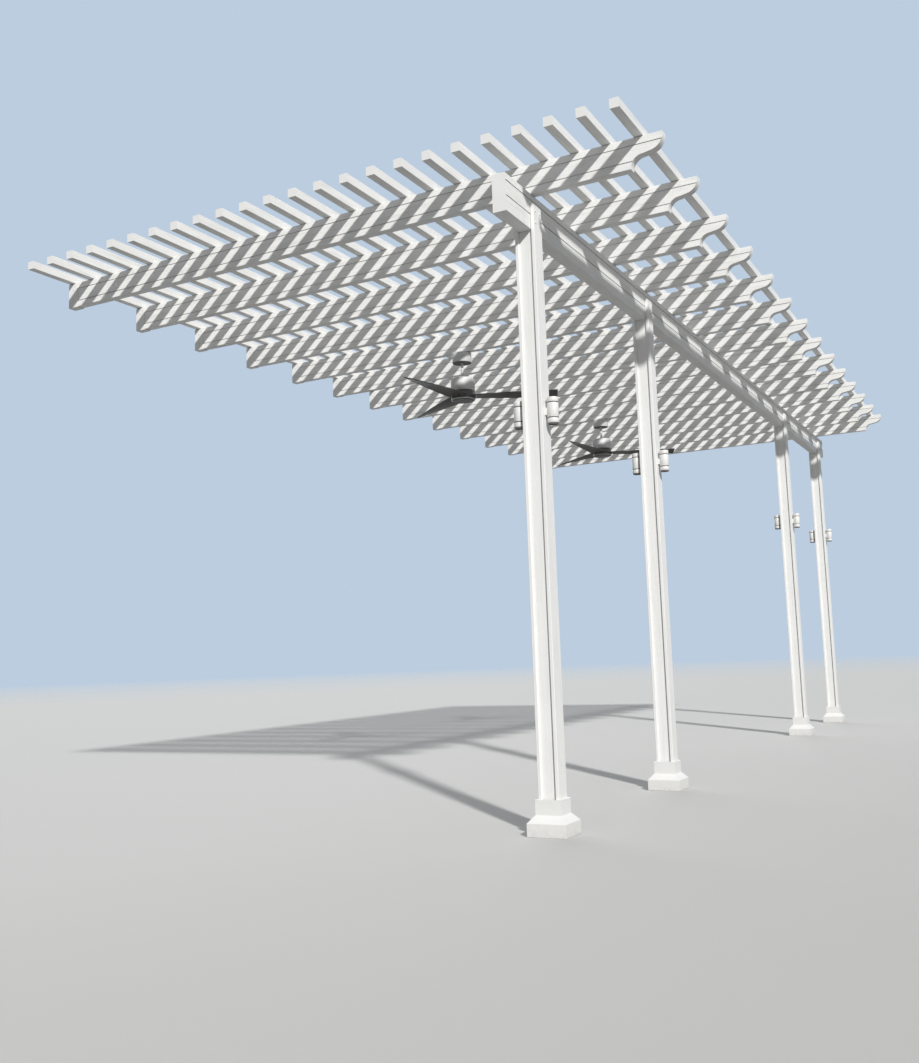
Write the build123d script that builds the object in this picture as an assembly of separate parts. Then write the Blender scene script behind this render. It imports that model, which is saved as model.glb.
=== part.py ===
from build123d import *
import math
import os

# Patio cover: an open lattice roof of rafters and tubes, held by a wall on one side
# and by a beam on four posts on the other. All sizes are in millimetres.
# X runs along the beam, Y towards the house wall, Z up from the paving.
# The origin is the centre of the underside of the first post's foot.

# Rafters
RAFTER_COUNT = 14
RAFTER_PITCH = 622.0
RAFTER_WIDTH = 50.8
RAFTER_DEPTH = 165.1
RAFTER_WALL = 5.0
RAFTER_EDGE_RADIUS = 2.5
RAFTER_GROOVE_WIDTH = 4.5
RAFTER_GROOVE_DEPTH = 3.4
RAFTER_GROOVES_BELOW_TOP = (40.0, 124.0)
TAIL_BEYOND_TUBE = 126.1

# Shaped rafter tail: a rounded nose, a short flat and a cove
NOSE_LENGTH = 60.0
NOSE_DEPTH = 86.0
COVE_START = 108.0
COVE_RADIUS = 65.0
COVE_STEP = 6.1

# Beam
BEAM_WIDTH = 76.2
BEAM_DEPTH = 203.2
BEAM_WALL = 6.0
BEAM_EDGE_RADIUS = 3.0
BEAM_BOTTOM = 3135.0
BEAM_OVERHANG = 347.0
BEAM_GROOVE_WIDTH = 6.0
BEAM_GROOVE_DEPTH = 4.2
BEAM_GROOVES_BELOW_TOP = (38.6, 120.0)

# Posts: a square core between two wide side plates
POSTS_UNDER_RAFTERS = (0, 3, 10, 13)
CORE_SIZE = 76.2
CORE_WALL = 3.0
PLATE_WIDTH = 101.6
PLATE_THICK = 19.05
PLATE_EDGE_RADIUS = 2.5
PLATE_LAP = 140.0

# Foot plates and moulded base covers
FOOT_LENGTH = 160.0
FOOT_WIDTH = 170.0
FOOT_THICK = 8.0
ANCHOR_HOLE_RADIUS = 6.5
ANCHOR_SPACING_X = 130.0
ANCHOR_SPACING_Y = 140.0
PLINTH_MARGIN = 48.0
PLINTH_HEIGHT = 66.0
COLLAR_MARGIN = 13.0
COLLAR_BOTTOM = 104.0
COLLAR_TOP = 179.0
BASE_CAVITY_HEIGHT = 50.0
BASE_CAVITY_CLEARANCE = 6.0

# Lattice tubes
TUBE_COUNT = 24
TUBE_PITCH = 175.0
TUBE_SIZE = 50.8
TUBE_WALL = 2.5
TUBE_CORNER = 3.0
TUBE_OVERHANG = 372.6
TUBE_WALL_GAP = 5.0
CAP_THICK = 2.0
CAP_PLUG_LENGTH = 15.0
PLUG_CLEARANCE = 0.3
BEAM_CAP_THICK = 3.0

# Wall hangers
WALL_Y = 3410.0
HANGER_THICK = 3.0
HANGER_LENGTH = 80.0
HANGER_TOP_GAP = 5.0
HANGER_HOLE_RADIUS = 3.5
HANGER_HOLE_SPACING = 80.0

# Up-and-down wall lights on the posts
LIGHT_HEIGHT = 2082.0
LIGHT_LENGTH = 142.0
LIGHT_RADIUS = 30.5
LIGHT_END_RADIUS = 27.5
LIGHT_STEP = 7.0
LIGHT_RING_HEIGHTS = (34.0, 115.0)
LIGHT_RING_WIDTH = 5.0
LIGHT_RECESS_RADIUS = 24.0
LIGHT_RECESS_DEPTH = 10.0
LENS_THICK = 3.0
LIGHT_STANDOFF = 39.1
BRACKET_WIDTH = 34.0
BRACKET_HEIGHT = 40.0
BRACKET_BOTTOM = 50.0

# Ceiling fans
FANS_UNDER_RAFTERS = (4, 9)
FAN_Y = 1735.0
FAN_DROP = 216.2
BLADE_START_ANGLES = (176.0, 179.0)
FAN_PLATE_SIZE = 108.0
FAN_PLATE_THICK = 5.0
CANOPY_RADIUS = 77.0
CANOPY_LIP_RADIUS = 75.0
CANOPY_DEPTH = 80.0
CANOPY_LIP_HEIGHT = 2.0
ROD_RADIUS = 11.0
HOUSING_RADIUS = 96.5
HOUSING_HEIGHT = 102.0
HOUSING_SHOULDER = 6.0
YOKE_RADIUS = 20.0
YOKE_HEIGHT = 18.0
ROTOR_GAP = 5.0
ROTOR_HEIGHT = 65.0
SHAFT_RADIUS = 15.0
SHAFT_CLEARANCE = 0.05
SHAFT_LENGTH = 40.0
SHAFT_END_GAP = 5.0
FAN_CAP_RADIUS = 92.0
FAN_CAP_DEPTH = 10.0
BLADE_COUNT = 3
BLADE_STATIONS = (62.0, 115.0, 430.0, 762.0)
BLADE_CHORDS = (162.0, 162.0, 150.0, 98.0)
BLADE_PITCHES = (3.0, 3.0, -6.0, -19.0)
BLADE_THICK = 8.0
BLADE_EDGE_RADIUS = 3.0
BLADE_ABOVE_ROTOR_BOTTOM = 28.0

# Levels and positions that follow from the sizes above
RAFTER_BOTTOM = BEAM_BOTTOM + BEAM_DEPTH
RAFTER_TOP = RAFTER_BOTTOM + RAFTER_DEPTH
RAFTER_END_Y = WALL_Y - HANGER_THICK
LAST_RAFTER_X = (RAFTER_COUNT - 1) * RAFTER_PITCH
SHAFT_DEPTH = CORE_SIZE + 2 * PLATE_THICK
TUBE_START_X = -TUBE_OVERHANG
TUBE_END_X = LAST_RAFTER_X + TUBE_OVERHANG
FIRST_TUBE_Y = WALL_Y - TUBE_WALL_GAP - TUBE_SIZE / 2
LAST_TUBE_Y = FIRST_TUBE_Y - (TUBE_COUNT - 1) * TUBE_PITCH
RAFTER_TIP_Y = LAST_TUBE_Y - TAIL_BEYOND_TUBE
TUBE_Z = RAFTER_TOP + TUBE_SIZE / 2
HOUSING_TOP = RAFTER_BOTTOM - FAN_DROP
HOUSING_BOTTOM = HOUSING_TOP - HOUSING_HEIGHT
ROTOR_TOP = HOUSING_BOTTOM - ROTOR_GAP
ROTOR_BOTTOM = ROTOR_TOP - ROTOR_HEIGHT
BLADE_Z = ROTOR_BOTTOM + BLADE_ABOVE_ROTOR_BOTTOM
BEAM_START_X = -BEAM_OVERHANG
BEAM_END_X = LAST_RAFTER_X + BEAM_OVERHANG


def block(x_range, y_range, z_range):
    """A box between two values on each axis."""
    size = [high - low for low, high in (x_range, y_range, z_range)]
    middle = [(low + high) / 2 for low, high in (x_range, y_range, z_range)]
    return Pos(*middle) * Box(*size)


def save(name, solids):
    """Write one node, made of solids that don't touch, to its own file."""
    shape = Compound(label=name, children=list(solids))
    export_step(shape, f"parts/{name}.step")


def rafter_x(index):
    return index * RAFTER_PITCH


# Rafters

def rafter_outline():
    """Side outline with the shaped tail, as a face whose x is the row's Y and y its Z."""
    nose_share = 1 - math.cos(math.radians(45))
    nose_middle = (RAFTER_TIP_Y + NOSE_LENGTH * nose_share,
                   RAFTER_TOP - NOSE_DEPTH * math.sin(math.radians(45)))
    nose_end = (RAFTER_TIP_Y + NOSE_LENGTH, RAFTER_TOP - NOSE_DEPTH)
    cove_end = (RAFTER_TIP_Y + COVE_START + COVE_RADIUS, RAFTER_BOTTOM + COVE_STEP)
    cove_start = (RAFTER_TIP_Y + COVE_START, cove_end[1] + COVE_RADIUS)
    cove_reach = COVE_RADIUS * math.sin(math.radians(45))
    cove_middle = (cove_start[0] + cove_reach, cove_end[1] + cove_reach)
    edges = [
        Line((RAFTER_END_Y, RAFTER_BOTTOM), (RAFTER_END_Y, RAFTER_TOP)),
        Line((RAFTER_END_Y, RAFTER_TOP), (RAFTER_TIP_Y, RAFTER_TOP)),
        ThreePointArc((RAFTER_TIP_Y, RAFTER_TOP), nose_middle, nose_end),
        Line(nose_end, cove_start),
        ThreePointArc(cove_start, cove_middle, cove_end),
        Line(cove_end, (cove_end[0], RAFTER_BOTTOM)),
        Line((cove_end[0], RAFTER_BOTTOM), (RAFTER_END_Y, RAFTER_BOTTOM)),
    ]
    return make_face(Curve() + edges)


def rafter():
    """One rafter on x = 0: a hollow plank, open at the house end, with a closed tail."""
    plank = extrude(Plane.YZ.offset(-RAFTER_WIDTH / 2) * rafter_outline(), RAFTER_WIDTH)
    long_edges = plank.edges().filter_by(Axis.Y)
    long_edges = long_edges.filter_by(lambda edge: edge.length > RAFTER_WIDTH)
    plank = fillet(long_edges, RAFTER_EDGE_RADIUS)
    inside_half = RAFTER_WIDTH / 2 - RAFTER_WALL
    inside_start = RAFTER_TIP_Y + COVE_START + COVE_RADIUS + RAFTER_WALL
    plank -= block((-inside_half, inside_half), (inside_start, RAFTER_END_Y),
                   (RAFTER_BOTTOM + RAFTER_WALL, RAFTER_TOP - RAFTER_WALL))
    length = RAFTER_END_Y - RAFTER_TIP_Y
    for below_top in RAFTER_GROOVES_BELOW_TOP:
        for face_x in (-RAFTER_WIDTH / 2, RAFTER_WIDTH / 2):
            centre = Pos(face_x, RAFTER_TIP_Y + length / 2, RAFTER_TOP - below_top)
            plank -= centre * Box(2 * RAFTER_GROOVE_DEPTH, length, RAFTER_GROOVE_WIDTH)
    return plank


def make_rafters():
    one = rafter()
    groups = {"rafters_1_to_4": range(0, 4), "rafters_5_to_7": range(4, 7),
              "rafters_8_to_10": range(7, 10), "rafters_11_to_14": range(10, 14)}
    for name, indexes in groups.items():
        save(name, [Pos(rafter_x(i), 0, 0) * one for i in indexes])


# Beam

def make_beam():
    """The hollow front beam with two grooves along each face, and its two end caps."""
    half = BEAM_WIDTH / 2
    start = BEAM_START_X + BEAM_CAP_THICK
    end = BEAM_END_X - BEAM_CAP_THICK
    section = Pos(0, BEAM_BOTTOM + BEAM_DEPTH / 2) * RectangleRounded(
        BEAM_WIDTH, BEAM_DEPTH, BEAM_EDGE_RADIUS)
    beam = extrude(Plane.YZ.offset(start) * section, end - start)
    inside = half - BEAM_WALL
    beam -= block((start, end), (-inside, inside),
                  (BEAM_BOTTOM + BEAM_WALL, RAFTER_BOTTOM - BEAM_WALL))
    for below_top in BEAM_GROOVES_BELOW_TOP:
        for face_y in (-half, half):
            centre = Pos((start + end) / 2, face_y, RAFTER_BOTTOM - below_top)
            beam -= centre * Box(end - start, 2 * BEAM_GROOVE_DEPTH, BEAM_GROOVE_WIDTH)
    save("beam", [beam])

    plug = inside - PLUG_CLEARANCE
    cap = extrude(Plane.YZ * section, BEAM_CAP_THICK)
    cap += block((BEAM_CAP_THICK, BEAM_CAP_THICK + CAP_PLUG_LENGTH), (-plug, plug),
                 (BEAM_BOTTOM + BEAM_WALL + PLUG_CLEARANCE,
                  RAFTER_BOTTOM - BEAM_WALL - PLUG_CLEARANCE))
    near = Pos(BEAM_START_X, 0, 0) * cap
    far = Pos(BEAM_END_X, 0, 0) * Rot(0, 0, 180) * cap
    save("beam_end_caps", [near, far])


# Posts

def post_core():
    half = CORE_SIZE / 2
    inside = half - CORE_WALL
    core = block((-half, half), (-half, half), (FOOT_THICK, BEAM_BOTTOM))
    core -= block((-inside, inside), (-inside, inside), (FOOT_THICK, BEAM_BOTTOM))
    return core


def side_plate():
    """The plate on the outer face of a post, lapping up over the face of the beam."""
    middle_y = -(CORE_SIZE + PLATE_THICK) / 2
    section = Pos(0, middle_y) * RectangleRounded(PLATE_WIDTH, PLATE_THICK, PLATE_EDGE_RADIUS)
    height = BEAM_BOTTOM + PLATE_LAP - FOOT_THICK
    return extrude(Plane.XY.offset(FOOT_THICK) * section, height)


def foot_plate():
    half_x = FOOT_LENGTH / 2
    half_y = FOOT_WIDTH / 2
    plate = block((-half_x, half_x), (-half_y, half_y), (0, FOOT_THICK))
    for x in (-ANCHOR_SPACING_X / 2, ANCHOR_SPACING_X / 2):
        for y in (-ANCHOR_SPACING_Y / 2, ANCHOR_SPACING_Y / 2):
            plate -= Pos(x, y, FOOT_THICK / 2) * Cylinder(ANCHOR_HOLE_RADIUS, FOOT_THICK)
    return plate


def base_cover():
    """The moulded cover round a post's foot: plinth, sloped shoulder and collar."""
    plinth_x = PLATE_WIDTH + 2 * PLINTH_MARGIN
    plinth_y = SHAFT_DEPTH + 2 * PLINTH_MARGIN
    collar_x = PLATE_WIDTH + 2 * COLLAR_MARGIN
    collar_y = SHAFT_DEPTH + 2 * COLLAR_MARGIN
    cover = extrude(Rectangle(plinth_x, plinth_y), PLINTH_HEIGHT)
    shoulder = [Plane.XY.offset(PLINTH_HEIGHT) * Rectangle(plinth_x, plinth_y),
                Plane.XY.offset(COLLAR_BOTTOM) * Rectangle(collar_x, collar_y)]
    cover += loft(shoulder)
    cover += extrude(Plane.XY.offset(COLLAR_BOTTOM) * Rectangle(collar_x, collar_y),
                     COLLAR_TOP - COLLAR_BOTTOM)
    cover -= extrude(Rectangle(PLATE_WIDTH, SHAFT_DEPTH), COLLAR_TOP)
    cover -= extrude(Rectangle(FOOT_LENGTH + 2 * BASE_CAVITY_CLEARANCE,
                               FOOT_WIDTH + 2 * BASE_CAVITY_CLEARANCE), BASE_CAVITY_HEIGHT)
    return cover


def make_posts():
    core = post_core()
    plate = side_plate()
    foot = foot_plate()
    cover = base_cover()
    for number, index in enumerate(POSTS_UNDER_RAFTERS, start=1):
        place = Pos(rafter_x(index), 0, 0)
        save(f"post_{number}_core", [place * core])
        save(f"post_{number}_side_plates", [place * plate, place * Rot(0, 0, 180) * plate])
        save(f"post_{number}_foot_plate", [place * foot])
        save(f"post_{number}_base_cover", [place * cover])


# Lattice tubes

def make_tubes():
    """The lattice tubes in four groups, and the caps that close their ends."""
    start = TUBE_START_X + CAP_THICK
    length = TUBE_END_X - TUBE_START_X - 2 * CAP_THICK
    inside = TUBE_SIZE - 2 * TUBE_WALL
    section = RectangleRounded(TUBE_SIZE, TUBE_SIZE, TUBE_CORNER) - Rectangle(inside, inside)
    tube = extrude(Plane.YZ.offset(start) * section, length)
    plug = inside - 2 * PLUG_CLEARANCE
    cap = extrude(Plane.YZ * RectangleRounded(TUBE_SIZE, TUBE_SIZE, TUBE_CORNER), CAP_THICK)
    cap += extrude(Plane.YZ.offset(CAP_THICK) * Rectangle(plug, plug), CAP_PLUG_LENGTH)
    places = [Pos(0, FIRST_TUBE_Y - i * TUBE_PITCH, TUBE_Z) for i in range(TUBE_COUNT)]
    group = TUBE_COUNT // 4
    for number in range(4):
        first = number * group
        name = f"lattice_tubes_{first + 1}_to_{first + group}"
        save(name, [place * tube for place in places[first:first + group]])
    save("tube_caps_near", [place * Pos(TUBE_START_X, 0, 0) * cap for place in places])
    save("tube_caps_far", [place * Pos(TUBE_END_X, 0, 0) * Rot(0, 0, 180) * cap
                           for place in places])


# Wall hangers

def hanger():
    """A U-shaped bracket round a rafter's house end, with two screw holes in its back."""
    outer = RAFTER_WIDTH / 2 + HANGER_THICK
    inner = RAFTER_WIDTH / 2
    bottom = RAFTER_BOTTOM - HANGER_THICK
    shell = block((-outer, outer), (WALL_Y - HANGER_LENGTH, WALL_Y),
                  (bottom, RAFTER_TOP - HANGER_TOP_GAP))
    shell -= block((-inner, inner), (WALL_Y - HANGER_LENGTH, RAFTER_END_Y),
                   (RAFTER_BOTTOM, RAFTER_TOP))
    middle = RAFTER_BOTTOM + RAFTER_DEPTH / 2
    for z in (middle - HANGER_HOLE_SPACING / 2, middle + HANGER_HOLE_SPACING / 2):
        hole = Rot(90, 0, 0) * Cylinder(HANGER_HOLE_RADIUS, HANGER_THICK)
        shell -= Pos(0, WALL_Y - HANGER_THICK / 2, z) * hole
    return shell


def make_hangers():
    one = hanger()
    half = RAFTER_COUNT // 2
    save("wall_hangers_1_to_7", [Pos(rafter_x(i), 0, 0) * one for i in range(half)])
    save("wall_hangers_8_to_14", [Pos(rafter_x(i), 0, 0) * one
                                  for i in range(half, RAFTER_COUNT)])


# Post lights

def light_body():
    """The turned lamp body on the Z axis, from z = 0 up, with two ring grooves."""
    ring = LIGHT_RING_WIDTH / 2
    outline = [(0, LIGHT_RECESS_DEPTH), (LIGHT_RECESS_RADIUS, LIGHT_RECESS_DEPTH),
               (LIGHT_RECESS_RADIUS, 0), (LIGHT_END_RADIUS, 0),
               (LIGHT_END_RADIUS, LIGHT_STEP), (LIGHT_RADIUS, LIGHT_STEP)]
    for height in LIGHT_RING_HEIGHTS:
        outline += [(LIGHT_RADIUS, height - ring), (LIGHT_END_RADIUS, height - ring),
                    (LIGHT_END_RADIUS, height + ring), (LIGHT_RADIUS, height + ring)]
    outline += [(LIGHT_RADIUS, LIGHT_LENGTH), (LIGHT_RECESS_RADIUS, LIGHT_LENGTH),
                (LIGHT_RECESS_RADIUS, LIGHT_LENGTH - LIGHT_RECESS_DEPTH),
                (0, LIGHT_LENGTH - LIGHT_RECESS_DEPTH)]
    return revolve(Plane.XZ * make_face(Polyline(*outline, close=True)), Axis.Z)


def light_bracket():
    """The block between the lamp body on the Z axis and the post face on its +Y side."""
    half = BRACKET_WIDTH / 2
    arm = block((-half, half), (0, LIGHT_STANDOFF),
                (BRACKET_BOTTOM, BRACKET_BOTTOM + BRACKET_HEIGHT))
    return arm - Pos(0, 0, LIGHT_LENGTH / 2) * Cylinder(LIGHT_RADIUS, LIGHT_LENGTH)


def make_lights():
    body = light_body()
    bracket = light_bracket()
    lens = Cylinder(LIGHT_RECESS_RADIUS, LENS_THICK)
    low_lens = Pos(0, 0, LIGHT_RECESS_DEPTH - LENS_THICK / 2) * lens
    high_lens = Pos(0, 0, LIGHT_LENGTH - LIGHT_RECESS_DEPTH + LENS_THICK / 2) * lens
    bodies = []
    brackets = []
    lenses = []
    for index in POSTS_UNDER_RAFTERS:
        for turn in (0, 180):
            place = Pos(rafter_x(index), 0, LIGHT_HEIGHT) * Rot(0, 0, turn)
            place = place * Pos(0, -SHAFT_DEPTH / 2 - LIGHT_STANDOFF, 0)
            bodies.append(place * body)
            brackets.append(place * bracket)
            lenses += [place * low_lens, place * high_lens]
    save("post_light_bodies", bodies)
    save("post_light_brackets", brackets)
    save("post_light_lenses", lenses)


# Ceiling fans

def turned(outline):
    """A solid turned about the Z axis from a closed outline of (radius, height) points."""
    return revolve(Plane.XZ * make_face(Polyline(*outline, close=True)), Axis.Z)


def fan_canopy():
    top = RAFTER_BOTTOM - FAN_PLATE_THICK
    bottom = top - CANOPY_DEPTH
    return turned([(ROD_RADIUS, top), (CANOPY_RADIUS, top), (CANOPY_RADIUS, bottom + CANOPY_LIP_HEIGHT),
                   (CANOPY_LIP_RADIUS, bottom), (ROD_RADIUS, bottom)])


def fan_housing():
    """The fixed motor housing, with the yoke cover on top and the shaft's bore below."""
    bore = SHAFT_RADIUS + SHAFT_CLEARANCE
    bore_top = ROTOR_TOP + SHAFT_LENGTH + SHAFT_END_GAP
    return turned([(0, bore_top), (bore, bore_top), (bore, HOUSING_BOTTOM),
                   (HOUSING_RADIUS, HOUSING_BOTTOM),
                   (HOUSING_RADIUS, HOUSING_TOP - HOUSING_SHOULDER),
                   (HOUSING_RADIUS - HOUSING_SHOULDER, HOUSING_TOP),
                   (YOKE_RADIUS, HOUSING_TOP), (YOKE_RADIUS, HOUSING_TOP + YOKE_HEIGHT),
                   (0, HOUSING_TOP + YOKE_HEIGHT)])


def blade_sections():
    """Sections across a blade that points along +X, each turned to its own pitch."""
    sections = []
    for station, chord, pitch in zip(BLADE_STATIONS, BLADE_CHORDS, BLADE_PITCHES):
        section = Plane.YZ * RectangleRounded(chord, BLADE_THICK, BLADE_EDGE_RADIUS)
        sections.append(Pos(station, 0, 0) * (Rot(pitch, 0, 0) * section))
    return sections


def round_the_hub(shape, first_angle):
    """One copy of a shape for each blade, at the blades' height."""
    return [Pos(0, 0, BLADE_Z) * Rot(0, 0, first_angle + i * 360 / BLADE_COUNT) * shape
            for i in range(BLADE_COUNT)]


def fan_blades(first_angle):
    """Twisted blades that taper from a broad root to a narrow square tip."""
    return round_the_hub(loft(blade_sections(), ruled=True), first_angle)


def fan_hub(first_angle):
    """The turning drum under the housing, with its shaft and a slot for each blade root."""
    shaft_top = ROTOR_TOP + SHAFT_LENGTH
    hub = turned([(0, ROTOR_BOTTOM), (HOUSING_RADIUS, ROTOR_BOTTOM), (HOUSING_RADIUS, ROTOR_TOP),
                  (SHAFT_RADIUS, ROTOR_TOP), (SHAFT_RADIUS, shaft_top), (0, shaft_top)])
    for root in round_the_hub(loft(blade_sections()[:2], ruled=True), first_angle):
        hub -= root
    return hub


def fan_cap():
    bottom = ROTOR_BOTTOM - FAN_CAP_DEPTH
    return turned([(0, bottom), (FAN_CAP_RADIUS - FAN_CAP_DEPTH, bottom),
                   (FAN_CAP_RADIUS, ROTOR_BOTTOM), (0, ROTOR_BOTTOM)])


def make_fans():
    plate_bottom = RAFTER_BOTTOM - FAN_PLATE_THICK
    half = FAN_PLATE_SIZE / 2
    plate = block((-half, half), (-half, half), (plate_bottom, RAFTER_BOTTOM))
    rod_bottom = HOUSING_TOP + YOKE_HEIGHT
    rod = Pos(0, 0, (plate_bottom + rod_bottom) / 2) * Cylinder(ROD_RADIUS, plate_bottom - rod_bottom)
    places = [Pos(rafter_x(index), FAN_Y, 0) for index in FANS_UNDER_RAFTERS]
    save("fan_mounting_plates", [place * plate for place in places])
    save("fan_canopies", [place * fan_canopy() for place in places])
    save("fan_downrods", [place * rod for place in places])
    save("fan_motor_housings", [place * fan_housing() for place in places])
    for number, (place, angle) in enumerate(zip(places, BLADE_START_ANGLES), start=1):
        save(f"fan_{number}_hub", [place * fan_hub(angle)])
        save(f"fan_{number}_blades", [place * blade for blade in fan_blades(angle)])
        save(f"fan_{number}_cap", [place * fan_cap()])


os.makedirs("parts", exist_ok=True)
make_rafters()
make_beam()
make_posts()
make_tubes()
make_hangers()
make_lights()
make_fans()
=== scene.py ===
import math

import bmesh
import bpy
from mathutils import Euler, Matrix, Vector


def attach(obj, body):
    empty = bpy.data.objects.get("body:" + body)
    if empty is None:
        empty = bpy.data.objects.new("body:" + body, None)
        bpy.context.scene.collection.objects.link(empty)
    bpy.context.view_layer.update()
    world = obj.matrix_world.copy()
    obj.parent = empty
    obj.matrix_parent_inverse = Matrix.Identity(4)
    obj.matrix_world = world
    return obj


# Patio cover: finishes, small fasteners, trim, light and camera. All sizes are in metres.
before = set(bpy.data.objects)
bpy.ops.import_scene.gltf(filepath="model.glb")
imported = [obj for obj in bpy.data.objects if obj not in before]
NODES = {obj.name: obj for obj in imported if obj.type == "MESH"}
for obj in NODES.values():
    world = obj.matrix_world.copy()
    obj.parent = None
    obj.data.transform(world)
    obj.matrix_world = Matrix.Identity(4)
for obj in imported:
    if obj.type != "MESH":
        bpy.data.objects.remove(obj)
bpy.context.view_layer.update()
scene = bpy.context.scene

# The photograph's frame in pixels, its lens, and where the camera stood
PHOTO_WIDTH = 919
PHOTO_HEIGHT = 1063
FOCAL_PIXELS = 1093.7
CENTRE_X = 469.7
CENTRE_Y = 520.8
SENSOR_MM = 36.0
CAMERA_PLACE = (-5.1554, -2.2795, 0.9065)
CAMERA_TURN_DEGREES = (97.0147, 2.0105, -62.1579)

# Light: the key follows the photograph's sun, the fill comes softly from behind
KEY_DIRECTION = (1.02, 1.0, -0.88)
KEY_STRENGTH = 3.8
KEY_ANGLE = 2.6
KEY_COLOUR = (1.0, 0.99, 0.97)
FILL_DIRECTION = (-1.0, -0.8, -0.45)
FILL_STRENGTH = 1.4
FILL_ANGLE = 50.0
FILL_COLOUR = (0.98, 0.99, 1.0)
SKY_LIGHT = 0.23
SKY_COLOUR = (0.97, 0.985, 1.0)
BACKGROUND = (0.50, 0.61, 0.74)

# Floor: the camera sees a paler colour than the one that lights the object from below
FLOOR_SEEN = (0.55, 0.55, 0.54)
FLOOR_BOUNCE = (0.25, 0.25, 0.245)
FLOOR_MIDDLE = (4.0, 1.3, -0.001)
FLOOR_RADIUS = 70.0
FLOOR_FADE_START = 22.0
FLOOR_FADE_END = 66.0

# Sizes of the part that the small pieces follow
RAFTER_COUNT = 14
RAFTER_PITCH = 0.622
RAFTER_WIDTH = 0.0508
RAFTER_TOP = 3.5033
BEAM_BOTTOM = 3.135
TUBE_COUNT = 24
TUBE_PITCH = 0.175
TUBE_SIZE = 0.0508
FIRST_TUBE_Y = 3.3796
WALL_Y = 3.41
HANGER_THICK = 0.003
POSTS_UNDER_RAFTERS = (0, 3, 10, 13)
PLATE_FACE_Y = 0.05715
LIGHT_Y = 0.09625
LIGHT_HEIGHT = 2.082
LIGHT_STEP = 0.007
LIGHT_RADIUS = 0.0305
LIGHT_RING_HEIGHTS = (0.034, 0.115)
LIGHT_RING_WIDTH = 0.005
FANS_UNDER_RAFTERS = (4, 9)
FAN_Y = 1.735
FAN_ROTOR_BOTTOM = 2.950
FAN_HUB_RADIUS = 0.0965
CANOPY_RADIUS = 0.077
CANOPY_MIDDLE = 3.293
CANOPY_BOTTOM = 3.2532
BLADE_Z = 2.978
BLADE_ROOT_PITCH = 3.0
BLADE_THICK = 0.008
BLADE_START_ANGLES = (176.0, 179.0)
BLADE_COUNT = 3

# Places and sizes of the screws
SMALL_SCREW = 0.8
TUBE_SCREW_RISE = 0.013
PLATE_SCREW_SIDE = 0.030
PLATE_SCREW_RISES = (0.038, 0.102)
HANGER_SCREW_INSET = 0.045
HANGER_SCREW_DROPS = (0.045, 0.120)
CANOPY_SCREW_RADIUS = 0.0042
CANOPY_SCREW_HEIGHT = 0.0026
BLADE_SCREW_OUT = 0.106
BLADE_SCREW_STEPS = (-0.045, 0.0, 0.045)
BLADE_SCREW_RADIUS = 0.0058
BLADE_SCREW_HEIGHT = 0.0030

# Gaskets in the lamps' grooves, and the rim round each fan's lower cap.
# The rim's points are (distance outside the hub's radius, height over the rotor's underside).
GASKET_FILL = 0.96
GASKET_ROOT_DEPTH = 0.0029
GASKET_EDGE_DEPTH = 0.0012
GASKET_CROWN = 0.0004
RIM_POINTS = ((-0.0055, 0.0004), (-0.0050, -0.0032), (-0.0020, -0.0044),
              (0.0003, -0.0020), (0.0006, 0.0016), (-0.0001, 0.0030))

# Colours of the white paint, of what settles on it, and of the painted shade in its corners and
# grooves
WHITE = (0.850, 0.848, 0.838)
WHITE_SHADE = (0.800, 0.797, 0.784)
WHITE_PORES = (0.60, 0.59, 0.56)
WHITE_FIGURE = (0.57, 0.565, 0.55)
WHITE_STREAK = (0.52, 0.49, 0.43)
CAP_WHITE = (0.805, 0.803, 0.793)
CAP_SHADE = (0.770, 0.767, 0.755)
DUST_AND_SHADE = (0.46, 0.43, 0.38)
GROOVE_SHADE_AND_GRIME = (0.20, 0.19, 0.17)
SPLASH = (0.54, 0.51, 0.46)
SPLASH_TOP = 0.16

# Scales of the noise that draws the pressed wood grain, along and across the member
GRAIN_ALONG = 9.0
GRAIN_ACROSS = 330.0
FIGURE_ALONG = 3.4
FIGURE_ACROSS = 64.0


def node_names(*starts):
    """The names of the CAD nodes that start with one of these words."""
    return [n for n in sorted(NODES) if n.startswith(starts)]


def post_nodes(*ends):
    """The names of the posts' CAD nodes that end with one of these words."""
    return [n for n in node_names("post_") if n.endswith(ends)]


# Node-tree helper

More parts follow.
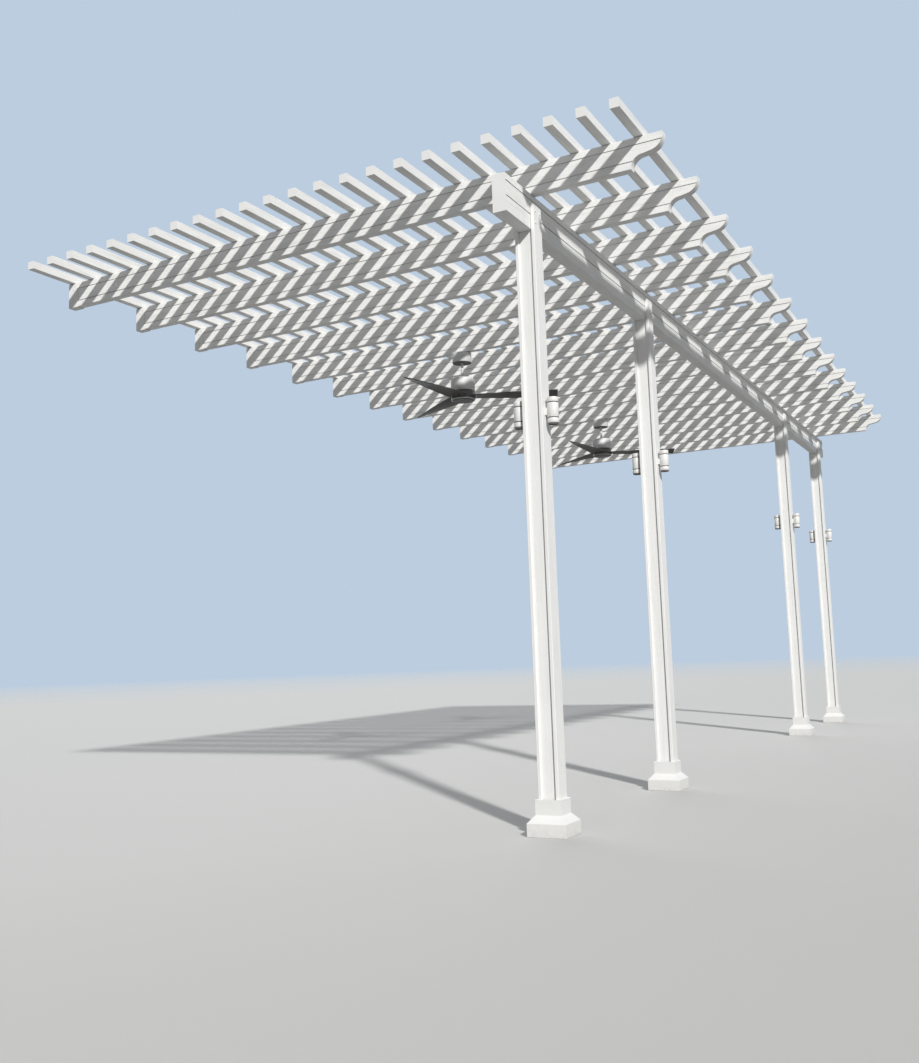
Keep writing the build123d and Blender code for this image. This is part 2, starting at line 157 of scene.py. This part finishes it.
class Tree:
    """Builds one material's node tree with short calls."""

    def __init__(self, name):
        self.material = bpy.data.materials.new(name)
        self.material.use_nodes = True
        self.tree = self.material.node_tree
        self.shader = self.tree.nodes["Principled BSDF"]

    def add(self, kind, **values):
        node = self.tree.nodes.new(kind)
        for key, value in values.items():
            setattr(node, key, value)
        return node

    def link(self, source, target):
        self.tree.links.new(source, target)

    def feed(self, node, name, value):
        """Give an input a link or a constant."""
        socket = node.inputs[name]
        if isinstance(value, bpy.types.NodeSocket):
            self.link(value, socket)
        else:
            socket.default_value = value

    def place(self):
        return self.add("ShaderNodeTexCoord").outputs["Object"]

    def split(self, vector):
        """The outputs X, Y and Z of a vector."""
        node = self.add("ShaderNodeSeparateXYZ")
        self.link(vector, node.inputs[0])
        return node.outputs

    def length(self, vector):
        node = self.add("ShaderNodeVectorMath", operation="LENGTH")
        self.link(vector, node.inputs[0])
        return node.outputs["Value"]

    def stretched(self, vector, scale):
        node = self.add("ShaderNodeVectorMath", operation="MULTIPLY")
        self.link(vector, node.inputs[0])
        node.inputs[1].default_value = scale
        return node.outputs[0]

    def noise(self, vector, scale, detail=3.0, rough=0.55, warp=0.0):
        node = self.add("ShaderNodeTexNoise")
        self.link(vector, node.inputs["Vector"])
        node.inputs["Scale"].default_value = scale
        node.inputs["Detail"].default_value = detail
        node.inputs["Roughness"].default_value = rough
        node.inputs["Distortion"].default_value = warp
        return node.outputs["Fac"]

    def ramp(self, value, low, high, out_low=0.0, out_high=1.0):
        node = self.add("ShaderNodeMapRange", clamp=True)
        self.link(value, node.inputs["Value"])
        node.inputs["From Min"].default_value = low
        node.inputs["From Max"].default_value = high
        node.inputs["To Min"].default_value = out_low
        node.inputs["To Max"].default_value = out_high
        return node.outputs["Result"]

    def maths(self, kind, a, b):
        node = self.add("ShaderNodeMath", operation=kind)
        self.feed(node, 0, a)
        self.feed(node, 1, b)
        return node.outputs[0]

    def mix(self, share, a, b):
        """Colour a turning to colour b as the share goes from 0 to 1."""
        node = self.add("ShaderNodeMix", data_type="RGBA", clamp_factor=True)
        self.link(share, node.inputs[0])
        for socket, colour in ((6, a), (7, b)):
            is_link = isinstance(colour, bpy.types.NodeSocket)
            self.feed(node, socket, colour if is_link else (*colour, 1.0))
        return node.outputs[2]

    def bump(self, height, strength, distance, before=None):
        node = self.add("ShaderNodeBump")
        self.link(height, node.inputs["Height"])
        node.inputs["Strength"].default_value = strength
        node.inputs["Distance"].default_value = distance
        if before is not None:
            self.link(before, node.inputs["Normal"])
        return node.outputs["Normal"]

    def corners(self, distance):
        """0 in the open and towards 1 in corners and joints, where shade falls; it masks painted
        shade and dirt.
        """
        node = self.add("ShaderNodeAmbientOcclusion", samples=6)
        node.inputs["Distance"].default_value = distance
        return self.maths("SUBTRACT", 1.0, node.outputs["AO"])

    def coat(self, colour, roughness, normal):
        """Feed the shader and return the finished material."""
        self.link(colour, self.shader.inputs["Base Color"])
        self.link(roughness, self.shader.inputs["Roughness"])
        self.link(normal, self.shader.inputs["Normal"])
        return self.material


# Materials

def along_axis(axis, along, across):
    """Scale of a pattern that runs along one axis."""
    return [along if i == axis else across for i in range(3)]


def embossed_white(name, axis, figure_tone, groove_shade_tone):
    """White baked paint on aluminium pressed with a wood grain along one axis."""
    t = Tree(name)
    place = t.place()
    warp = t.add("ShaderNodeTexNoise")
    t.link(place, warp.inputs["Vector"])
    warp.inputs["Scale"].default_value = 1.7
    warp.inputs["Detail"].default_value = 2.0
    bend = t.add("ShaderNodeVectorMath", operation="MULTIPLY_ADD")
    t.link(warp.outputs["Color"], bend.inputs[0])
    bend.inputs[1].default_value = (0.012, 0.012, 0.012)
    t.link(place, bend.inputs[2])
    bent = bend.outputs[0]
    grain_place = t.stretched(bent, along_axis(axis, GRAIN_ALONG, GRAIN_ACROSS))
    figure_place = t.stretched(bent, along_axis(axis, FIGURE_ALONG, FIGURE_ACROSS))
    grain = t.noise(grain_place, 1.0, detail=4.0, rough=0.6)
    pores = t.ramp(t.noise(grain_place, 2.3, detail=2.0), 0.56, 0.70)
    figure = t.noise(figure_place, 1.0, detail=3.0, warp=0.7)
    broad = t.noise(place, 2.6, detail=4.0)
    fine = t.noise(place, 31.0, detail=3.0)

    colour = t.mix(t.ramp(broad, 0.35, 0.70, 0.0, 0.75), WHITE, WHITE_SHADE)
    colour = t.mix(t.maths("MULTIPLY", pores, 0.16), colour, WHITE_PORES)
    colour = t.mix(t.ramp(figure, 0.48, 0.72, 0.0, figure_tone), colour, WHITE_FIGURE)
    # Dust and painted shade in corners: darker where the surface is hemmed in by other surfaces.
    corner_dust_and_shade = t.ramp(t.corners(0.035), 0.25, 0.95)
    corner_dust_and_shade = t.maths("MULTIPLY", corner_dust_and_shade, t.ramp(fine, 0.38, 0.66, 0.06, 0.34))
    colour = t.mix(corner_dust_and_shade, colour, DUST_AND_SHADE)
    # Painted shade in grooves and at joints, with some grime: the floors of narrow grooves turn
    # dark.
    groove_shade = t.ramp(t.corners(0.008), 0.22, 0.60, 0.0, groove_shade_tone)
    colour = t.mix(groove_shade, colour, GROOVE_SHADE_AND_GRIME)
    streak = t.noise(t.stretched(place, (34.0, 34.0, 1.1)), 1.0, detail=3.0)
    colour = t.mix(t.ramp(streak, 0.62, 0.80, 0.0, 0.12), colour, WHITE_STREAK)

    roughness = t.ramp(t.maths("ADD", fine, broad), 0.7, 1.3, 0.36, 0.52)
    normal = t.bump(broad, 0.10, 0.004)
    normal = t.bump(figure, 0.45, 0.0016, normal)
    normal = t.bump(grain, 0.55, 0.0007, normal)
    normal = t.bump(pores, 0.25, -0.0004, normal)
    return t.coat(colour, roughness, normal)


def moulded_white(name, splash_top=0.0):
    """Smooth satin white, with a light splash of dust up to a height from the paving."""
    t = Tree(name)
    place = t.place()
    broad = t.noise(place, 5.0, detail=4.0)
    fine = t.noise(place, 55.0, detail=4.0)
    peel = t.noise(place, 420.0, detail=2.0)
    colour = t.mix(t.ramp(broad, 0.35, 0.70, 0.0, 0.8), CAP_WHITE, CAP_SHADE)
    # Dust and painted shade in corners and joints.
    corner_dust_and_shade = t.ramp(t.corners(0.025), 0.25, 0.95)
    corner_dust_and_shade = t.maths("MULTIPLY", corner_dust_and_shade, t.ramp(fine, 0.35, 0.66, 0.12, 0.5))
    colour = t.mix(corner_dust_and_shade, colour, DUST_AND_SHADE)
    if splash_top:
        low = t.ramp(t.split(place)["Z"], 0.0, splash_top, 1.0, 0.0)
        specks = t.ramp(fine, 0.34, 0.66, 0.06, 0.38)
        splash = t.maths("MULTIPLY", t.maths("POWER", low, 2.2), specks)
        colour = t.mix(splash, colour, SPLASH)
    normal = t.bump(broad, 0.08, 0.003)
    normal = t.bump(peel, 0.20, 0.0004, normal)
    return t.coat(colour, t.ramp(fine, 0.3, 0.7, 0.34, 0.48), normal)


def lamp_white(name, dark_below):
    """Satin white lamp body, coloured dark below its step."""
    t = Tree(name)
    place = t.place()
    broad = t.ramp(t.noise(place, 24.0, detail=4.0), 0.3, 0.7)
    fine = t.noise(place, 190.0, detail=3.0)
    # Dust and painted shade in corners.
    corner_dust_and_shade = t.maths("MULTIPLY", t.ramp(t.corners(0.012), 0.3, 1.0), 0.4)
    white = t.mix(corner_dust_and_shade, t.mix(broad, (0.760, 0.755, 0.740), (0.715, 0.710, 0.695)), DUST_AND_SHADE)
    dark = t.mix(broad, (0.210, 0.196, 0.186), (0.150, 0.140, 0.133))
    low = t.maths("LESS_THAN", t.split(place)["Z"], dark_below)
    return t.coat(t.mix(low, white, dark), t.ramp(fine, 0.3, 0.7, 0.32, 0.46),
                  t.bump(fine, 0.15, 0.0003))


def satin_grey(name, dark_below=0.0):
    """Satin light grey paint of the fans' metal, with a dark face under a height."""
    t = Tree(name)
    place = t.place()
    broad = t.ramp(t.noise(place, 9.0, detail=4.0), 0.3, 0.7)
    fine = t.noise(place, 160.0, detail=3.0)
    # Painted shade with some grime darkens the corners and joints.
    corner_dust_and_shade = t.maths("MULTIPLY", t.ramp(t.corners(0.02), 0.3, 1.0), 0.5)
    colour = t.mix(broad, (0.66, 0.665, 0.66), (0.60, 0.605, 0.60))
    colour = t.mix(corner_dust_and_shade, colour, (0.16, 0.16, 0.15))
    if dark_below:
        low = t.maths("LESS_THAN", t.split(place)["Z"], dark_below)
        dark = t.mix(broad, (0.125, 0.128, 0.125), (0.090, 0.093, 0.090))
        colour = t.mix(low, colour, dark)
    return t.coat(colour, t.ramp(fine, 0.3, 0.7, 0.50, 0.62), t.bump(fine, 0.12, 0.0003))


def blade_grey(name, centre):
    """Dark weathered grey blade with a fine grain that runs out from the fan's centre."""
    t = Tree(name)
    place = t.place()
    away = t.add("ShaderNodeVectorMath", operation="SUBTRACT")
    t.link(place, away.inputs[0])
    away.inputs[1].default_value = centre
    # The turn keeps the seam of the angle away from the blades
    turned = t.add("ShaderNodeVectorRotate", rotation_type="Z_AXIS")
    t.link(away.outputs[0], turned.inputs["Vector"])
    turned.inputs["Angle"].default_value = math.radians(60)
    side = t.split(turned.outputs[0])
    out = t.length(away.outputs[0])
    angle = t.maths("ARCTAN2", side["Y"], side["X"])
    join = t.add("ShaderNodeCombineXYZ")
    t.link(t.maths("MULTIPLY", out, 5.0), join.inputs["X"])
    t.link(t.maths("MULTIPLY", t.maths("MULTIPLY", angle, out), 260.0), join.inputs["Y"])
    t.link(t.maths("MULTIPLY", side["Z"], 60.0), join.inputs["Z"])
    grain = t.noise(join.outputs[0], 1.0, detail=5.0, rough=0.62)
    broad = t.noise(place, 12.0, detail=4.0)
    colour = t.mix(t.ramp(grain, 0.32, 0.68), (0.060, 0.056, 0.053), (0.105, 0.098, 0.092))
    colour = t.mix(t.ramp(broad, 0.45, 0.75, 0.0, 0.35), colour, (0.145, 0.138, 0.128))
    return t.coat(colour, t.ramp(grain, 0.3, 0.7, 0.46, 0.62), t.bump(grain, 0.5, 0.0004))


def dark_plastic(name, colour_a, colour_b, rough):
    """Matt moulded dark plastic or rubber."""
    t = Tree(name)
    place = t.place()
    broad = t.noise(place, 20.0, detail=4.0)
    fine = t.noise(place, 600.0, detail=2.0)
    return t.coat(t.mix(t.ramp(broad, 0.3, 0.7), colour_a, colour_b),
                  t.ramp(broad, 0.3, 0.7, rough - 0.05, rough + 0.08),
                  t.bump(fine, 0.25, 0.0002))


def galvanised(name):
    """Dull zinc coat with a crystal spangle."""
    t = Tree(name)
    place = t.place()
    spangle = t.add("ShaderNodeTexVoronoi")
    t.link(place, spangle.inputs["Vector"])
    spangle.inputs["Scale"].default_value = 95.0
    tone = t.add("ShaderNodeSeparateColor")
    t.link(spangle.outputs["Color"], tone.inputs[0])
    broad = t.noise(place, 14.0, detail=5.0)
    colour = t.mix(tone.outputs["Red"], (0.36, 0.37, 0.38), (0.54, 0.55, 0.56))
    colour = t.mix(t.ramp(broad, 0.50, 0.80, 0.0, 0.6), colour, (0.60, 0.59, 0.57))
    t.shader.inputs["Metallic"].default_value = 0.75
    return t.coat(colour, t.ramp(tone.outputs["Green"], 0.0, 1.0, 0.38, 0.60),
                  t.bump(tone.outputs["Red"], 0.12, 0.0002))


def frosted_lens(name):
    """Frosted glass over the lamps' ends."""
    t = Tree(name)
    place = t.place()
    grain = t.noise(place, 520.0, detail=3.0)
    broad = t.noise(place, 30.0, detail=3.0)
    t.shader.inputs["Transmission Weight"].default_value = 0.45
    t.shader.inputs["IOR"].default_value = 1.46
    return t.coat(t.mix(broad, (0.78, 0.81, 0.82), (0.70, 0.73, 0.74)),
                  t.ramp(grain, 0.3, 0.7, 0.28, 0.46), t.bump(grain, 0.4, 0.0003))


def bright_steel(name):
    """Bare steel of the small screw heads on the fans."""
    t = Tree(name)
    place = t.place()
    fine = t.noise(place, 900.0, detail=3.0)
    broad = t.noise(place, 60.0, detail=3.0)
    t.shader.inputs["Metallic"].default_value = 0.9
    return t.coat(t.mix(t.ramp(broad, 0.3, 0.7), (0.62, 0.62, 0.61), (0.50, 0.50, 0.49)),
                  t.ramp(fine, 0.3, 0.7, 0.22, 0.40), t.bump(fine, 0.15, 0.0001))


# Posts show less of the figure, and of the painted shade and grime in their grooves, than the roof
# does
white_x = embossed_white("white_grain_along_x", 0, figure_tone=0.38, groove_shade_tone=0.70)
white_y = embossed_white("white_grain_along_y", 1, figure_tone=0.40, groove_shade_tone=0.70)
white_z = embossed_white("white_grain_along_z", 2, figure_tone=0.18, groove_shade_tone=0.15)
white_cap = moulded_white("white_moulded")
white_base = moulded_white("white_base_cover", SPLASH_TOP)
white_screw = moulded_white("white_screw_heads")
white_lamp = lamp_white("white_lamp", LIGHT_HEIGHT + LIGHT_STEP)
zinc = galvanised("galvanised_zinc")
steel = bright_steel("bright_steel")
lens = frosted_lens("frosted_lens")
fan_grey = satin_grey("fan_satin_grey")
canopy_grey = satin_grey("fan_canopy_grey", CANOPY_BOTTOM + 0.0015)
fan_drum = dark_plastic("fan_dark_drum", (0.120, 0.116, 0.110), (0.088, 0.085, 0.081), 0.36)
rim_grey = satin_grey("fan_rim_grey")
fan_dark = dark_plastic("fan_dark_disc", (0.105, 0.112, 0.106), (0.075, 0.080, 0.077), 0.38)
ring_dark = dark_plastic("dark_ring", (0.040, 0.040, 0.042), (0.028, 0.028, 0.030), 0.55)


def dress(material, *names):
    """Give CAD nodes their material."""
    for name in names:
        NODES[name].data.materials.clear()
        NODES[name].data.materials.append(material)


dress(white_y, *node_names("rafters_"))
dress(white_x, "beam", *node_names("lattice_tubes_"))
dress(white_z, *post_nodes("_core", "_side_plates"))
dress(zinc, *post_nodes("_foot_plate"))
dress(white_base, *post_nodes("_base_cover"))
dress(white_cap, "beam_end_caps", "tube_caps_near", "tube_caps_far", "fan_mounting_plates",
      *node_names("wall_hangers_"))
dress(white_lamp, "post_light_bodies", "post_light_brackets")
dress(lens, "post_light_lenses")
dress(fan_grey, "fan_downrods", "fan_motor_housings")
dress(canopy_grey, "fan_canopies")
dress(fan_drum, "fan_1_hub", "fan_2_hub")
dress(fan_dark, "fan_1_cap", "fan_2_cap")
for number, index in enumerate(FANS_UNDER_RAFTERS, start=1):
    fan_centre = (index * RAFTER_PITCH, FAN_Y, BLADE_Z)
    dress(blade_grey(f"fan_{number}_blade_grey", fan_centre), f"fan_{number}_blades")


def soften(width, *names):
    """Small rounded edges on CAD nodes."""
    for name in names:
        weld = NODES[name].modifiers.new("weld", "WELD")
        weld.merge_threshold = 0.00002
        bevel = NODES[name].modifiers.new("soft_edges", "BEVEL")
        bevel.width = width
        bevel.segments = 2
        bevel.limit_method = "ANGLE"
        bevel.angle_limit = math.radians(50)
        bevel.harden_normals = True


soften(0.0025, *post_nodes("_base_cover"))
soften(0.0015, "fan_canopies", "fan_motor_housings", "post_light_brackets")
soften(0.0008, "post_light_bodies", "tube_caps_near", "tube_caps_far", "beam_end_caps")


# Small pieces

class Shape:
    """Collects turned forms in one mesh and makes a piece of it."""

    def __init__(self):
        self.build = bmesh.new()

    def turn(self, outline, place, sides=20):
        """Turn an outline of (radius, height) points about the place's Z axis."""
        rings = []
        for radius, height in outline:
            if radius == 0:
                rings.append([self.build.verts.new(place @ Vector((0, 0, height)))])
                continue
            ring = []
            for i in range(sides):
                angle = 2 * math.pi * i / sides
                point = Vector((radius * math.cos(angle), radius * math.sin(angle), height))
                ring.append(self.build.verts.new(place @ point))
            rings.append(ring)
        for low, high in zip(rings, rings[1:]):
            for i in range(sides):
                j = (i + 1) % sides
                corners = [low[i % len(low)], low[j % len(low)],
                           high[j % len(high)], high[i % len(high)]]
                self.build.faces.new(dict.fromkeys(corners))

    def screw(self, place, size=1.0):
        """A hexagon head on a dished washer, standing on the place's XY plane."""
        washer = [(0.0068, 0.0), (0.0068, 0.0007), (0.0058, 0.0014), (0.0046, 0.0016)]
        head = [(0.0046, 0.0014), (0.0046, 0.0046), (0.0039, 0.0052), (0.0, 0.0052)]
        self.turn([(r * size, h * size) for r, h in washer], place)
        self.turn([(r * size, h * size) for r, h in head], place, sides=6)

    def button(self, place, radius, height):
        """A domed screw head."""
        steps = [math.radians(a) for a in (0, 25, 50, 72)]
        outline = [(radius * math.cos(a), height * (0.25 + 0.75 * math.sin(a))) for a in steps]
        self.turn([(radius, 0.0), *outline, (0.0, height)], place, sides=16)

    def finish(self, name, material, body, smooth=False):
        bmesh.ops.recalc_face_normals(self.build, faces=self.build.faces)
        for face in self.build.faces:
            face.smooth = smooth
        mesh = bpy.data.meshes.new(name)
        self.build.to_mesh(mesh)
        self.build.free()
        mesh.materials.append(material)
        piece = bpy.data.objects.new(name, mesh)
        scene.collection.objects.link(piece)
        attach(piece, body)


def at(x, y, z, facing="Z"):
    """A place at a point, with its Z axis facing along one of the world's directions."""
    turns = {"Z": (0, 0, 0), "-Y": (90, 0, 0), "Y": (-90, 0, 0), "X": (0, 90, 0), "-X": (0, -90, 0)}
    turn = Euler([math.radians(a) for a in turns[facing]], "XYZ")
    return Matrix.Translation((x, y, z)) @ turn.to_matrix().to_4x4()


def make_tube_screws():
    """A screw head on the front of each tube, over each rafter."""
    shape = Shape()
    for row in range(TUBE_COUNT):
        front = FIRST_TUBE_Y - row * TUBE_PITCH - TUBE_SIZE / 2
        for index in range(RAFTER_COUNT):
            shape.screw(at(index * RAFTER_PITCH, front, RAFTER_TOP + TUBE_SCREW_RISE, "-Y"),
                        SMALL_SCREW)
    shape.finish("tube_screws", white_screw, "frame")


def make_plate_screws():
    """Four screws through each side plate into the beam."""
    shape = Shape()
    for index in POSTS_UNDER_RAFTERS:
        for side, facing in ((-1, "-Y"), (1, "Y")):
            for across in (-PLATE_SCREW_SIDE, PLATE_SCREW_SIDE):
                for up in PLATE_SCREW_RISES:
                    shape.screw(at(index * RAFTER_PITCH + across, side * PLATE_FACE_Y,
                                   BEAM_BOTTOM + up, facing))
    shape.finish("plate_screws", white_screw, "frame")


def make_hanger_screws():
    """Two screws through each cheek of every wall hanger."""
    shape = Shape()
    cheek = RAFTER_WIDTH / 2 + HANGER_THICK
    for index in range(RAFTER_COUNT):
        for side, facing in ((-1, "-X"), (1, "X")):
            for down in HANGER_SCREW_DROPS:
                shape.screw(at(index * RAFTER_PITCH + side * cheek, WALL_Y - HANGER_SCREW_INSET,
                               RAFTER_TOP - down, facing), SMALL_SCREW)
    shape.finish("hanger_screws", white_screw, "frame")


def make_lamp_gaskets():
    """Dark gaskets in the two grooves round each lamp."""
    shape = Shape()
    half = LIGHT_RING_WIDTH / 2 * GASKET_FILL
    deep = LIGHT_RADIUS - GASKET_ROOT_DEPTH
    edge = LIGHT_RADIUS - GASKET_EDGE_DEPTH
    outline = [(deep, -half), (edge, -half), (edge + GASKET_CROWN, 0.0), (edge, half), (deep, half)]
    for index in POSTS_UNDER_RAFTERS:
        for side in (-1, 1):
            for height in LIGHT_RING_HEIGHTS:
                shape.turn(outline, at(index * RAFTER_PITCH, side * LIGHT_Y,
                                       LIGHT_HEIGHT + height), sides=48)
    shape.finish("lamp_gaskets", ring_dark, "frame", smooth=True)


def make_canopy_screws():
    """Two small screws in the side of each fan canopy."""
    shape = Shape()
    for index in FANS_UNDER_RAFTERS:
        for side, facing in ((-1, "-X"), (1, "X")):
            place = at(index * RAFTER_PITCH + side * CANOPY_RADIUS, FAN_Y, CANOPY_MIDDLE, facing)
            shape.button(place, CANOPY_SCREW_RADIUS, CANOPY_SCREW_HEIGHT)
    shape.finish("canopy_screws", steel, "frame", smooth=True)


def make_rim(number, centre):
    """The grey rim round a fan's lower cap."""
    rim = Shape()
    outline = [(FAN_HUB_RADIUS + out, FAN_ROTOR_BOTTOM + up) for out, up in RIM_POINTS]
    rim.turn(outline, centre, sides=96)
    rim.finish(f"fan_{number}_rim", rim_grey, f"fan_{number}_rotor", smooth=True)


def make_blade_screws(number, centre, start_angle):
    """Three screws under the root of each blade, square to its pitched face."""
    screws = Shape()
    for blade in range(BLADE_COUNT):
        angle = math.radians(start_angle + blade * 360 / BLADE_COUNT)
        place = centre @ Matrix.Translation((0, 0, BLADE_Z)) @ Matrix.Rotation(angle, 4, "Z")
        place = place @ Matrix.Rotation(math.radians(BLADE_ROOT_PITCH), 4, "X")
        for across in BLADE_SCREW_STEPS:
            spot = Matrix.Translation((BLADE_SCREW_OUT, across, -BLADE_THICK / 2))
            screws.button(place @ spot @ Matrix.Rotation(math.pi, 4, "X"),
                          BLADE_SCREW_RADIUS, BLADE_SCREW_HEIGHT)
    screws.finish(f"fan_{number}_blade_screws", steel, f"fan_{number}_rotor",
                  smooth=True)


make_tube_screws()
make_plate_screws()
make_hanger_screws()
make_lamp_gaskets()
make_canopy_screws()
for number, (index, angle) in enumerate(zip(FANS_UNDER_RAFTERS, BLADE_START_ANGLES), start=1):
    fan_axis = at(index * RAFTER_PITCH, FAN_Y, 0)
    make_rim(number, fan_axis)
    make_blade_screws(number, fan_axis, angle)


# Floor, light and camera

def make_floor():
    """A round pale floor that fades out far away."""
    mesh = bpy.data.meshes.new("floor")
    build = bmesh.new()
    bmesh.ops.create_circle(build, cap_ends=True, radius=FLOOR_RADIUS, segments=96)
    build.to_mesh(mesh)
    build.free()
    floor = bpy.data.objects.new("floor", mesh)
    floor.location = FLOOR_MIDDLE
    scene.collection.objects.link(floor)
    t = Tree("floor")
    seen = t.add("ShaderNodeLightPath").outputs["Is Camera Ray"]
    t.link(t.mix(seen, FLOOR_BOUNCE, FLOOR_SEEN), t.shader.inputs["Base Color"])
    t.shader.inputs["Roughness"].default_value = 0.9
    clear = t.add("ShaderNodeBsdfTransparent")
    blend = t.add("ShaderNodeMixShader")
    t.link(t.ramp(t.length(t.place()), FLOOR_FADE_START, FLOOR_FADE_END), blend.inputs[0])
    t.link(t.shader.outputs[0], blend.inputs[1])
    t.link(clear.outputs[0], blend.inputs[2])
    t.link(blend.outputs[0], t.tree.nodes["Material Output"].inputs["Surface"])
    floor.data.materials.append(t.material)


def make_world():
    """A soft white sky for the light, and a pale blue one for the camera, gloss and glass."""
    world = bpy.data.worlds.new("studio")
    world.use_nodes = True
    scene.world = world
    nodes = world.node_tree.nodes
    links = world.node_tree.links
    nodes.clear()
    out = nodes.new("ShaderNodeOutputWorld")
    soft = nodes.new("ShaderNodeBackground")
    soft.inputs["Color"].default_value = (*SKY_COLOUR, 1.0)
    soft.inputs["Strength"].default_value = SKY_LIGHT
    shown = nodes.new("ShaderNodeBackground")
    shown.inputs["Color"].default_value = (*BACKGROUND, 1.0)
    shown.inputs["Strength"].default_value = 1.0
    path = nodes.new("ShaderNodeLightPath")
    seen = path.outputs["Is Camera Ray"]
    for ray in ("Is Glossy Ray", "Is Transmission Ray"):
        join = nodes.new("ShaderNodeMath")
        join.operation = "MAXIMUM"
        links.new(seen, join.inputs[0])
        links.new(path.outputs[ray], join.inputs[1])
        seen = join.outputs[0]
    blend = nodes.new("ShaderNodeMixShader")
    links.new(seen, blend.inputs[0])
    links.new(soft.outputs[0], blend.inputs[1])
    links.new(shown.outputs[0], blend.inputs[2])
    links.new(blend.outputs[0], out.inputs["Surface"])


def make_lamp(name, direction, strength, angle, colour):
    """A far lamp whose light travels in one direction, softer the wider its angle."""
    light = bpy.data.lights.new(name, "SUN")
    light.energy = strength
    light.angle = math.radians(angle)
    light.color = colour
    lamp = bpy.data.objects.new(name, light)
    lamp.rotation_euler = Vector(direction).to_track_quat("-Z", "Y").to_euler()
    scene.collection.objects.link(lamp)


def make_camera():
    """The photograph's camera: the shift stands for its crop."""
    data = bpy.data.cameras.new("camera")
    data.sensor_width = SENSOR_MM
    data.sensor_fit = "AUTO"
    data.lens = FOCAL_PIXELS / PHOTO_HEIGHT * SENSOR_MM
    data.shift_x = (PHOTO_WIDTH / 2 - CENTRE_X) / PHOTO_HEIGHT
    data.shift_y = (CENTRE_Y - PHOTO_HEIGHT / 2) / PHOTO_HEIGHT
    data.clip_start = 0.05
    data.clip_end = 400.0
    camera = bpy.data.objects.new("camera", data)
    camera.location = CAMERA_PLACE
    camera.rotation_euler = Euler([math.radians(a) for a in CAMERA_TURN_DEGREES], "XYZ")
    scene.collection.objects.link(camera)
    scene.camera = camera


make_floor()
make_world()
make_lamp("key", KEY_DIRECTION, KEY_STRENGTH, KEY_ANGLE, KEY_COLOUR)
make_lamp("fill", FILL_DIRECTION, FILL_STRENGTH, FILL_ANGLE, FILL_COLOUR)
make_camera()
scene.view_settings.view_transform = "Standard"
